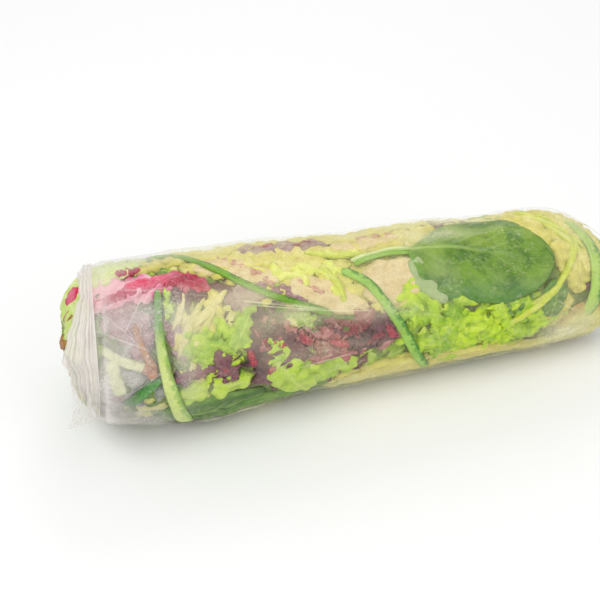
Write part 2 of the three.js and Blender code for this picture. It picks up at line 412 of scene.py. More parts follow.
class Recipe:
    """A finish built from shader nodes round one Principled shader."""

    def __init__(self, name, roughness=0.45, specular=0.5):
        self.finish = bpy.data.materials.new(name)
        self.finish.use_nodes = True
        self.tree = self.finish.node_tree
        self.shader = self.tree.nodes["Principled BSDF"]
        self.shader.inputs["Roughness"].default_value = roughness
        self.shader.inputs["Specular IOR Level"].default_value = specular

    def add(self, kind, *inputs, out=0, **settings):
        node = self.tree.nodes.new("ShaderNode" + kind)
        for setting, value in settings.items():
            setattr(node, setting, value)
        for i, value in enumerate(inputs):
            if value is not None:
                self.plug(value, node.inputs[i])
        return node.outputs[out]

    def plug(self, value, socket):
        if isinstance(value, bpy.types.NodeSocket):
            self.tree.links.new(value, socket)
        else:
            socket.default_value = value

    def math(self, operation, *values):
        return self.add("Math", *values, operation=operation)

    def place(self):
        return self.add("TexCoord", out=3)

    def uv(self, axis):
        split = self.add("SeparateXYZ", self.add("TexCoord", out=2)).node
        return split.outputs[axis]

    def off_rib(self):
        """0 on the midrib of a leaf and 1 along its edges."""
        return self.math("ABSOLUTE", self.math("MULTIPLY_ADD", self.uv(1), 2.0, -1.0))

    def off_line(self, place):
        """0 on each of a row of lines and 0.5 midway between two."""
        return self.math("ABSOLUTE", self.math("SUBTRACT", self.math("FRACT", place), 0.5))

    def off_vein(self, count, slant, wobble):
        """As off_line, for the veins that slant away from a leaf's midrib."""
        place = self.math("MULTIPLY_ADD", self.uv(0), count, self.math("MULTIPLY", self.off_rib(), -slant))
        return self.off_line(self.math("ADD", place, wobble))

    def mark(self, name):
        node = self.tree.nodes.new("ShaderNodeAttribute")
        node.attribute_name = name
        return node.outputs["Fac"]

    def noise(self, scale, detail=3.0, roughness=0.55, distortion=0.0, stretch=None):
        place = self.place()
        if stretch is not None:
            place = self.add("Mapping", place, None, None, stretch)
        node = self.tree.nodes.new("ShaderNodeTexNoise")
        node.inputs["Scale"].default_value = scale
        node.inputs["Detail"].default_value = detail
        node.inputs["Roughness"].default_value = roughness
        node.inputs["Distortion"].default_value = distortion
        self.plug(place, node.inputs["Vector"])
        return node.outputs["Fac"]

    def near_line(self, place, start, end, width):
        """1 on a straight line between two places, fading to the sides and at both ends."""
        start, end = Vector((*start, 0)), Vector((*end, 0))
        course = (end - start).normalized()
        reach = (end - start).length
        offset = self.add("VectorMath", place, start, operation="SUBTRACT")
        gone = self.add("VectorMath", offset, course, operation="DOT_PRODUCT", out=1)
        held = self.math("MINIMUM", self.math("MAXIMUM", gone, 0.0), reach)
        foot = self.add("VectorMath", course, None, None, held, operation="SCALE")
        aside = self.add("VectorMath", offset, foot, operation="SUBTRACT")
        distance = self.add("VectorMath", aside, operation="LENGTH", out=1)
        middle = self.math("ABSOLUTE", self.math("MULTIPLY_ADD", gone, 2 / reach, -1.0))
        return self.math("MULTIPLY", self.window(distance, width, 0.0), self.window(middle, 1.0, 0.5))

    def window(self, value, low, high, out_low=0.0, out_high=1.0):
        """A value brought smoothly from one range to another."""
        node = self.tree.nodes.new("ShaderNodeMapRange")
        node.interpolation_type = "SMOOTHSTEP"
        for socket, number in zip(node.inputs, (value, low, high, out_low, out_high)):
            self.plug(number, socket)
        return node.outputs[0]

    def mix(self, share, first, second, blend_type="MIX"):
        node = self.tree.nodes.new("ShaderNodeMix")
        node.data_type = "RGBA"
        node.blend_type = blend_type
        self.plug(share, node.inputs[0])
        self.plug(first, node.inputs[6])
        self.plug(second, node.inputs[7])
        return node.outputs[2]

    def bump(self, height, strength, distance_mm):
        node = self.tree.nodes.new("ShaderNodeBump")
        node.inputs["Strength"].default_value = strength
        node.inputs["Distance"].default_value = distance_mm * MM
        self.plug(height, node.inputs["Height"])
        self.plug(node.outputs[0], self.shader.inputs["Normal"])

    def colour(self, value):
        self.plug(value, self.shader.inputs["Base Color"])

    def lets_lamps_through(self):
        """Thin film: what lies under it is lit as brightly as what lies beside it."""
        shadow = self.tree.nodes.new("ShaderNodeLightPath").outputs["Is Shadow Ray"]
        clear = self.tree.nodes.new("ShaderNodeBsdfTransparent").outputs[0]
        mixed = self.add("MixShader", shadow, self.shader.outputs[0], clear)
        self.plug(mixed, self.tree.nodes["Material Output"].inputs["Surface"])


def rgb(red, green, blue):
    """A colour given as it looks on a screen, from 0 to 255, as the shader's linear one."""
    def linear(value):
        value /= 255
        return value / 12.92 if value <= 0.04045 else ((value + 0.055) / 1.055) ** 2.4
    return (linear(red), linear(green), linear(blue), 1.0)


# What sets a leaf that keeps its clear colour apart from a washed-out one
Skin = namedtuple("Skin", "crinkle_scale crinkle_roughness crinkle dark_grain pale_grain grit relief")
FRESH_SKIN = Skin(210.0, 0.6, 0.5, 0.2, 0.15, 0.1, 0.7)
DULL_SKIN = Skin(330.0, 0.65, 0.65, 0.5, 0.3, 0.35, 0.9)
FRESH_BELOW = 0.2
FRESH_WASH = 0.15
DULL_WASH = 0.4


def leaf_finish(name, blade, shade, edge, rib, vein_share=0.2, washed=DULL_WASH):
    """A salad leaf: crinkled, pale along its rib and veins, darker in patches, and with painted shade low in
    its folds.
    """
    r = Recipe(name, 0.42)
    skin_look = FRESH_SKIN if washed < FRESH_BELOW else DULL_SKIN
    off_rib = r.off_rib()
    crinkle = r.noise(skin_look.crinkle_scale, 5.0, skin_look.crinkle_roughness, 1.4)
    patches = r.noise(120.0, 3.0, 0.6, 0.8)
    streaks = r.noise(230.0, 3.0, 0.6, 0.6, (0.25, 1.0, 1.0))
    # Painted shade: the shade colour darkened further, for where the leaf lies low in its folds
    deep = tuple(0.45 * part for part in shade[:3]) + (1.0,)
    tone = r.math("MULTIPLY_ADD", r.mark("leaf_tone"), 0.6, -0.55)
    darker = r.math("MULTIPLY_ADD", patches, 1.2, tone)
    surface = r.mix(r.window(darker, 0.1, 0.8), blade, shade)
    surface = r.mix(r.window(crinkle, 0.42, 0.68, 0.0, skin_look.crinkle), surface, shade)
    surface = r.mix(r.window(streaks, 0.5, 0.75, 0.0, 0.45), surface, rib)
    surface = r.mix(r.window(off_rib, 0.6, 1.0, 0.0, 0.7), surface, edge)
    vein = r.window(r.off_vein(7.0, 2.6, r.math("MULTIPLY", patches, 2.0)), 0.16, 0.0)
    veins = r.math("MULTIPLY", vein, r.window(off_rib, 0.8, 0.2, 0.0, vein_share))
    surface = r.mix(veins, surface, rib)
    surface = r.mix(r.window(off_rib, 0.12, 0.03, 0.0, 2 * vein_share), surface, rib)
    # Painted shade in the folds, strongest where the ridge mark is lowest
    surface = r.mix(r.window(r.mark("ridge"), 0.75, 0.0, 0.0, 0.7), surface, deep)
    wash = r.noise(150.0, 5.0, 0.7, 1.2)
    surface = r.mix(r.window(wash, 0.5, 0.72, 0.0, washed), surface, rgb(232, 226, 190))
    grain = r.noise(800.0, 3.0, 0.7)
    surface = r.mix(r.window(grain, 0.52, 0.72, 0.0, skin_look.dark_grain), surface, shade)
    surface = r.mix(r.window(grain, 0.46, 0.3, 0.0, skin_look.pale_grain), surface, rib)
    r.colour(surface)
    r.bump(r.math("ADD", crinkle, r.math("MULTIPLY", grain, skin_look.grit)), skin_look.relief, 0.9)
    return r.finish


def core_finish():
    r = Recipe("packed_salad", 0.55)
    surface = r.mix(r.window(r.noise(110.0, 4.0), 0.35, 0.7), rgb(120, 140, 55), rgb(75, 92, 40))
    surface = r.mix(r.window(r.noise(45.0, 2.0), 0.52, 0.68), surface, rgb(98, 62, 62))
    r.colour(surface)
    r.bump(r.noise(160.0, 5.0), 0.9, 1.2)
    return r.finish


# Side veins of the spinach leaf: how many in its length, and how much they slant
SPINACH_VEINS = 6.5
SPINACH_SLANT = 2.4


def spinach_finish():
    """A smooth dark leaf with a pale midrib, forked side veins and fine pale specks."""
    r = Recipe("spinach_green", 0.32)
    u, v = r.uv(0), r.uv(1)
    off_rib = r.off_rib()
    mottle = r.noise(900.0, 4.0, 0.7)
    cloud = r.noise(95.0, 4.0, 0.6, 0.6)
    surface = r.mix(r.window(cloud, 0.3, 0.62), rgb(46, 100, 6), rgb(112, 150, 38))
    surface = r.mix(r.window(r.noise(60.0, 3.0), 0.48, 0.68, 0.0, 0.6), surface, rgb(148, 174, 62))
    surface = r.mix(r.window(r.noise(260.0, 5.0, 0.7, 0.4), 0.5, 0.7, 0.0, 0.5), surface, rgb(36, 88, 10))
    specks = r.math("MULTIPLY", r.window(mottle, 0.57, 0.75, 0.0, 0.8), r.window(v, 0.15, 0.5, 0.35, 0.9))
    surface = r.mix(specks, surface, rgb(206, 216, 140))
    surface = r.mix(r.window(v, 0.3, 0.0, 0.0, 0.6), surface, rgb(34, 116, 4))
    vein = r.window(r.off_vein(SPINACH_VEINS, SPINACH_SLANT, r.math("MULTIPLY", cloud, 1.4)), 0.1, 0.0)
    veins = r.math("MULTIPLY", vein, r.window(off_rib, 0.8, 0.15, 0.0, 0.3))
    veins = r.math("MULTIPLY", veins, r.window(u, 0.34, 0.46))
    surface = r.mix(veins, surface, rgb(150, 178, 92))
    rib = r.math("MULTIPLY", r.window(off_rib, 0.06, 0.01), r.window(u, 0.9, 0.45, 0.0, 0.8))
    surface = r.mix(rib, surface, rgb(160, 188, 92))
    stalk = r.window(u, 0.46, 0.36)
    surface = r.mix(stalk, surface, r.mix(r.window(v, 0.35, 0.65), rgb(128, 176, 40), rgb(206, 218, 150)))
    r.colour(surface)
    r.bump(r.math("SUBTRACT", r.math("MULTIPLY", cloud, 0.6), r.math("MAXIMUM", veins, rib)), 0.45, 0.4)
    return r.finish


def radicchio_finish(name, deep, bright, pale, pale_share):
    """A crinkled red leaf, paler in patches and along fine lines."""
    r = Recipe(name, 0.34)
    cloud = r.noise(130.0, 3.0, 0.6, 0.8, (0.6, 1.0, 1.0))
    crinkle = r.noise(330.0, 4.0, 0.6, 1.0)
    surface = r.mix(r.window(cloud, 0.35, 0.6), bright, deep)
    surface = r.mix(r.window(r.noise(120.0, 2.0), 0.6, 0.44, 0.0, pale_share), surface, pale)
    line = r.off_line(r.math("MULTIPLY_ADD", r.uv(1), 4.0, cloud))
    surface = r.mix(r.window(line, 0.07, 0.0, 0.0, 0.4), surface, pale)
    r.colour(surface)
    r.bump(crinkle, 0.8, 0.8)
    return r.finish


def strip_finish(name, rind, flesh, start=None):
    """A cut strip: dark rind along one edge, paler flesh along the other, darker at its start."""
    r = Recipe(name, 0.28)
    grain = r.noise(560.0, 5.0, 0.7, 0.4)
    cloud = r.noise(120.0, 2.0)
    ragged = r.math("ADD", r.off_rib(), r.math("MULTIPLY_ADD", grain, 1.2, -0.6))
    surface = r.mix(r.window(ragged, 0.5, 0.72), flesh, rind)
    if start is not None:
        along = r.math("ADD", r.uv(0), r.math("MULTIPLY", cloud, 0.3))
        surface = r.mix(r.window(along, 0.6, 0.3), surface, start)
    surface = r.mix(r.window(cloud, 0.4, 0.7, 0.0, 0.35), surface, rind)
    surface = r.mix(r.window(grain, 0.6, 0.78, 0.0, 0.35), surface, rgb(214, 224, 160))
    surface = r.mix(r.window(r.noise(190.0, 3.0), 0.6, 0.72, 0.0, 0.4), surface, rgb(120, 110, 30))
    r.colour(surface)
    r.bump(grain, 0.6, 0.3)
    return r.finish


# However milky, the sheet is never quite opaque
MOST_COVER = 0.94


def paper_finish(name, clear, veil, milk=rgb(236, 232, 196), speckling_and_glints=1.0):
    """Wet rice paper: nearly clear where it clings to a leaf and milky where it stands off."""
    r = Recipe(name, 0.26, 0.35)
    cloud = r.noise(130.0, 4.0, 0.6, 0.8)
    grit = r.noise(1900.0, 2.0, 0.7)
    fleck = r.noise(1000.0, 3.0, 0.65)
    wave = r.noise(170.0, 3.0, 0.55, 0.6, (0.5, 1.0, 1.0))
    stand_off = r.math("ADD", r.mark("gap_mm"), r.math("MULTIPLY_ADD", cloud, 1.2, -0.6))
    cover = r.window(stand_off, 0.2, 2.4, clear, veil)
    misted = r.math("MULTIPLY", r.mark("haze"), r.window(cloud, 0.25, 0.7, 0.65, 1.15))
    cover = r.math("MAXIMUM", r.math("ADD", cover, misted), 0.0)
    patchy = r.window(r.noise(75.0, 2.0), 0.35, 0.65, 0.25, 1.0)
    # White grain on the sheet: partly frost specks of trapped air, partly painted glints standing in for the
    # small highlights of the wet film
    speck_and_glint_share = r.math("MULTIPLY", r.math("MULTIPLY_ADD", cover, 0.12, 0.2), r.math("MULTIPLY", patchy, speckling_and_glints))
    grain = r.math("MULTIPLY", r.window(grit, 0.45, 0.7), speck_and_glint_share)
    flecks = r.math("MULTIPLY", r.window(fleck, 0.55, 0.72), r.math("MULTIPLY", patchy, 0.26 * speckling_and_glints))
    place = r.add("CombineXYZ", r.mark("station_mm"), r.mark("arc_mm"))
    creases = 0.0
    for start, end, width, share in CREASES:
        line = r.near_line(place, start, end, width)
        creases = r.math("MAXIMUM", creases, r.math("MULTIPLY", line, share))
    cover = r.math("ADD", cover, r.math("ADD", grain, r.math("ADD", flecks, creases)))
    rim = r.window(r.math("ABSOLUTE", r.mark("seam_mm")), 0.4, 0.1, 0.0, 0.3)
    rim = r.math("MULTIPLY", rim, r.window(r.mark("station_mm"), 12.0, -4.0))
    cover = r.math("MAXIMUM", cover, rim)
    cover = r.math("MINIMUM", cover, MOST_COVER)
    cover = r.math("MULTIPLY", cover, r.mark("outer_face"))
    tint = r.mix(r.window(cloud, 0.3, 0.7, 0.0, 0.5), milk, rgb(228, 226, 176))
    r.colour(r.mix(r.window(r.mark("station_mm"), -44.0, -62.0), tint, rgb(226, 220, 214)))
    r.plug(cover, r.shader.inputs["Alpha"])
    r.bump(r.math("ADD", r.math("MULTIPLY", fleck, 0.3), wave), 0.4, 0.5)
    r.lets_lamps_through()
    return r.finish


# ---------------------------------------------------------------- settings


class StageSettings(bpy.types.PropertyGroup):
    """The floor, the lamps and the camera"""

    azimuth: bpy.props.FloatProperty(name="Azimuth", description="Degrees round the roll", default=-16.0)
    elevation: bpy.props.FloatProperty(name="Elevation", description="Degrees above the table", default=40.0)
    distance: bpy.props.FloatProperty(
        name="Distance", description="Camera to what it looks at", default=0.3435, unit="LENGTH"
    )
    aim: bpy.props.FloatVectorProperty(
        name="Aim", description="The point the camera looks at", default=(-0.012, 0.009, 0.022), subtype="XYZ"
    )
    lens: bpy.props.FloatProperty(name="Lens", description="Focal length in mm", default=65.3)
    floor_colour: bpy.props.FloatVectorProperty(
        name="Floor", description="Colour of the plain floor", default=(0.93, 0.93, 0.93), subtype="COLOR"
    )


class PaperSettings(bpy.types.PropertyGroup):
    """The rice paper"""

    thickness: bpy.props.FloatProperty(
        name="Thickness", description="Of the wet sheet", default=WET_SHEET, unit="LENGTH"
    )
    clear: bpy.props.FloatProperty(name="Clear", description="Cover where the paper clings", default=0.04)
    veil: bpy.props.FloatProperty(name="Veil", description="Cover where it stands off", default=0.55)
    seam_angle: bpy.props.FloatProperty(
        name="Seam", description="Angle of the free edge, degrees", default=36.0
    )
    seam_step: bpy.props.FloatProperty(
        name="Seam step", description="Height of the free edge", default=0.00045, unit="LENGTH"
    )


# ---------------------------------------------------------------- pieces


# Name, place in m, size in m and power in W
LAMPS = (
    ("key", (-0.35, -0.25, 0.8), 0.6, 3.9),
    ("back", (0.25, 0.65, 0.6), 0.5, 1.4),
    ("fill", (0.5, -0.7, 0.4), 0.5, 1.2),
)


class ROLL_OT_stage(bpy.types.Operator):
    """Adds the floor, the lamps and the camera"""

    bl_idname = "roll.stage"
    bl_label = "Stage"

    def execute(self, context):
        settings = context.scene.roll_stage
        bpy.ops.object.select_all(action="DESELECT")
        bpy.ops.mesh.primitive_plane_add(size=8, location=(0, 0, CAD_BOX[0].z))
        floor = context.active_object
        floor.name = "floor"
        r = Recipe("pale_floor", 0.7, 0.2)
        r.colour((*settings.floor_colour, 1.0))
        floor.data.materials.append(r.finish)
        floor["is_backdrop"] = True

        world = bpy.data.worlds.new("studio")
        world.use_nodes = True
        world.node_tree.nodes["Background"].inputs["Color"].default_value = (1.0, 1.0, 1.0, 1.0)
        world.node_tree.nodes["Background"].inputs["Strength"].default_value = 0.6
        context.scene.world = world
        for name, place, size, power in LAMPS:
            self.lamp(name, place, size, power)

        azimuth, elevation = math.radians(settings.azimuth), math.radians(settings.elevation)
        back = Vector(
            (
                math.sin(azimuth) * math.cos(elevation),
                -math.cos(azimuth) * math.cos(elevation),
                math.sin(elevation),
            )
        )
        bpy.ops.object.camera_add(location=Vector(settings.aim) + back * settings.distance)
        camera = context.active_object
        camera.rotation_euler = (-back).to_track_quat("-Z", "Y").to_euler()
        camera.data.lens = settings.lens
        camera.data.sensor_width = 36.0
        context.scene.camera = camera
        context.scene.view_settings.view_transform = "Standard"
        context.scene.cycles.transparent_max_bounces = 16
        return {"FINISHED"}

    def lamp(self, name, place, size, power):
        bpy.ops.object.light_add(type="AREA", location=place)
        lamp = bpy.context.active_object
        lamp.name = name
        lamp.data.size = size
        lamp.data.energy = power
        lamp.rotation_euler = (-Vector(place)).to_track_quat("-Z", "Y").to_euler()


class ROLL_OT_core(bpy.types.Operator):
    """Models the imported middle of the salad"""

    bl_idname = "roll.core"
    bl_label = "Packed salad"

    def execute(self, context):
        bpy.ops.object.select_all(action="DESELECT")
        bpy.ops.mesh.primitive_uv_sphere_add(segments=120, ring_count=110, radius=1)
        piece = context.active_object
        piece.name = "salad_core"
        ball = np.empty(len(piece.data.vertices) * 3)
        piece.data.vertices.foreach_get("co", ball)
        ball = ball.reshape(-1, 3)
        share = np.arccos(np.clip(-ball[:, 2], -1, 1)) / math.pi
        angle = np.degrees(np.arctan2(ball[:, 1], ball[:, 0]))
        station = LEFT_END + 5.5 + (RIGHT_END - LEFT_END - 11) * (share - 0.1 * np.sin(2 * math.pi * share))
        turn = np.radians(angle)
        dents = crumple(station, 24 * np.sin(turn), 7.0, 3) + crumple(station, 24 * np.cos(turn), 5.0, 4)
        points = under_skin(station, angle, CORE_DEPTH + 0.6 * dents)
        pole = (share < 0.001) | (share > 0.999)
        points[pole, 1] = 0
        points[pole, 2] = body_radius(station[pole]) * AXIS_HEIGHT_SHARE
        place_points(piece, points)
        facing_out(piece)
        finished(piece, core_finish(), ["salad_filling"])
        return {"FINISHED"}


# Everywhere round the roll: under the leaves placed one by one, and near the paper at the back
BED = Clump(0, 0, 0, 0, 0, 22, 16, 1.3)
# Habit, how many, and colours of blade, shade, edge and rib
BED_SORTS = {
    "lime_lettuce_bed": (
        "curly", 70, rgb(170, 202, 34), rgb(112, 152, 20), rgb(192, 216, 66), rgb(206, 220, 110)
    ),
    "green_lettuce_bed": (
        "soft", 40, rgb(112, 152, 42), rgb(72, 112, 26), rgb(140, 176, 60), rgb(182, 200, 106)
    ),
    "plum_lettuce_bed": (
        "curly", 22, rgb(112, 58, 64), rgb(70, 32, 44), rgb(96, 38, 54), rgb(166, 116, 110)
    ),
    "cream_lettuce_bed": (
        "soft", 36, rgb(226, 218, 140), rgb(204, 200, 104), rgb(214, 212, 116), rgb(236, 232, 176)
    ),
}
# How many at each end, and colours
END_SORTS = {
    "lime_bunch": (12, rgb(172, 204, 50), rgb(120, 158, 28), rgb(196, 218, 80), rgb(208, 222, 120)),
    "green_bunch": (7, rgb(112, 152, 46), rgb(74, 114, 28), rgb(136, 170, 60), rgb(184, 200, 110)),
    "cream_bunch": (8, rgb(228, 220, 150), rgb(206, 202, 112), rgb(218, 214, 124), rgb(238, 232, 186)),
    "plum_bunch": (3, rgb(116, 60, 68), rgb(76, 34, 46), rgb(100, 36, 56), rgb(170, 120, 116)),
}
# Where bunch leaves may lie: their share of the end's radius, and mm inside the skin
BUNCH_REACH = 0.74
BUNCH_OUTERMOST = 0.78
BUNCH_INSIDE = 2.0
BUNCH_LENGTH = 11


def bunch_leaf(name, left, share, facing, seed):
    """A leaf seen end-on at one end of the roll, its ruffled tip just inside the round end."""
    draw = np.random.default_rng(seed)
    piece, u, across = grid_piece(name, 12, 44)
    v = 2 * across - 1
    end, rounding, out = (LEFT_END, LEFT_ROUNDING, -1) if left else (RIGHT_END, RIGHT_ROUNDING, 1)
    radius = body_radius(end) * share
    spread = min(150.0, math.degrees(draw.uniform(9, 15) / radius))
    turn = np.radians(facing + spread * v)
    waves, phase = draw.uniform(3.0, 5.0), draw.uniform(0, 6.3)
    ruffle = np.sin(2 * math.pi * waves * across + phase) + 0.5 * np.sin(2 * math.pi * 2.3 * waves * across)
    radial = radius + 1.5 * ruffle * (0.3 + 0.7 * u) + 1.2 * np.sin(3 * turn + phase)
    radial = np.clip(radial, 0.6, body_radius(end) * BUNCH_OUTERMOST)
    dome = rounding * (1 - np.sqrt(1 - (radial / body_radius(end)) ** 2))
    ragged = 0.9 + 0.5 * np.sin(2 * math.pi * 3.1 * waves * across + 2 * phase) + 1.2 * v**4
    tip = end - out * (dome + 1.0 + ragged)
    station = tip - out * BUNCH_LENGTH * (1 - u)
    room = (body_radius(station) + swell_height(station, np.degrees(turn))) * end_share(station)
    radial = np.minimum(radial, room - BUNCH_INSIDE)
    height = body_radius(end) * AXIS_HEIGHT_SHARE + radial * np.sin(turn)
    points = np.stack((station, -radial * np.cos(turn), height), -1)
    points[:, 2] = np.maximum(points[:, 2], 1.2)
    place_points(piece, points)
    mark(piece, "leaf_tone", draw.uniform(0, 1))
    # Low in the ruffle's troughs and towards the leaf's inner end; its finish paints shade there, deeper
    # inside the roll's end
    mark(piece, "ridge", np.clip(0.6 + 0.3 * ruffle, 0, 1) * (0.3 + 0.7 * u))
    return piece


class ROLL_OT_bed(bpy.types.Operator):
    """Scatters the mixed leaves that lie under the larger ones, and bunches those at the ends"""

    bl_idname = "roll.bed"
    bl_label = "Bed of leaves"

    def execute(self, context):
        for number, (name, (habit, count, *colours)) in enumerate(BED_SORTS.items()):
            draw = np.random.default_rng(100 + number)
            leaves = []
            for leaf in strewn(BED._replace(count=count), draw):
                angle = draw.uniform(-60, 300)
                at_back = angle > 126 or angle < -44
                depth = draw.uniform(1.0, 2.2) if at_back else draw.uniform(2.2, 2.8)
                wider = 1.25 if at_back else 1.0
                leaf = leaf._replace(station=draw.uniform(-73, 74), angle=angle, depth=depth)
                leaves.append(leaf._replace(length=leaf.length * wider, width=leaf.width * wider))
            thin = HABITS[habit]._replace(steps=(24, 14), ruffle=0.9)
            piece = leaves_piece(name, leaves, thin, 1000 * (number + 1))
            finished(piece, leaf_finish(name + "_leaf", *colours), ["salad_filling"])
        draw = np.random.default_rng(77)
        for name, (count, *colours) in END_SORTS.items():
            pieces = []
            for i in range(2 * count):
                share = BUNCH_REACH * math.sqrt((i // 2 + draw.uniform(0.1, 0.9)) / count)
                facing = draw.uniform(0, 360)
                pieces.append(bunch_leaf(name, i % 2 == 0, max(share, 0.12), facing, 600 + 31 * i))
            piece = join(pieces, name)
            modify(piece, "SOLIDIFY", thickness=0.4 * MM, offset=0.0)
            finished(piece, leaf_finish(name + "_leaf", *colours), ["salad_filling"])
        return {"FINISHED"}


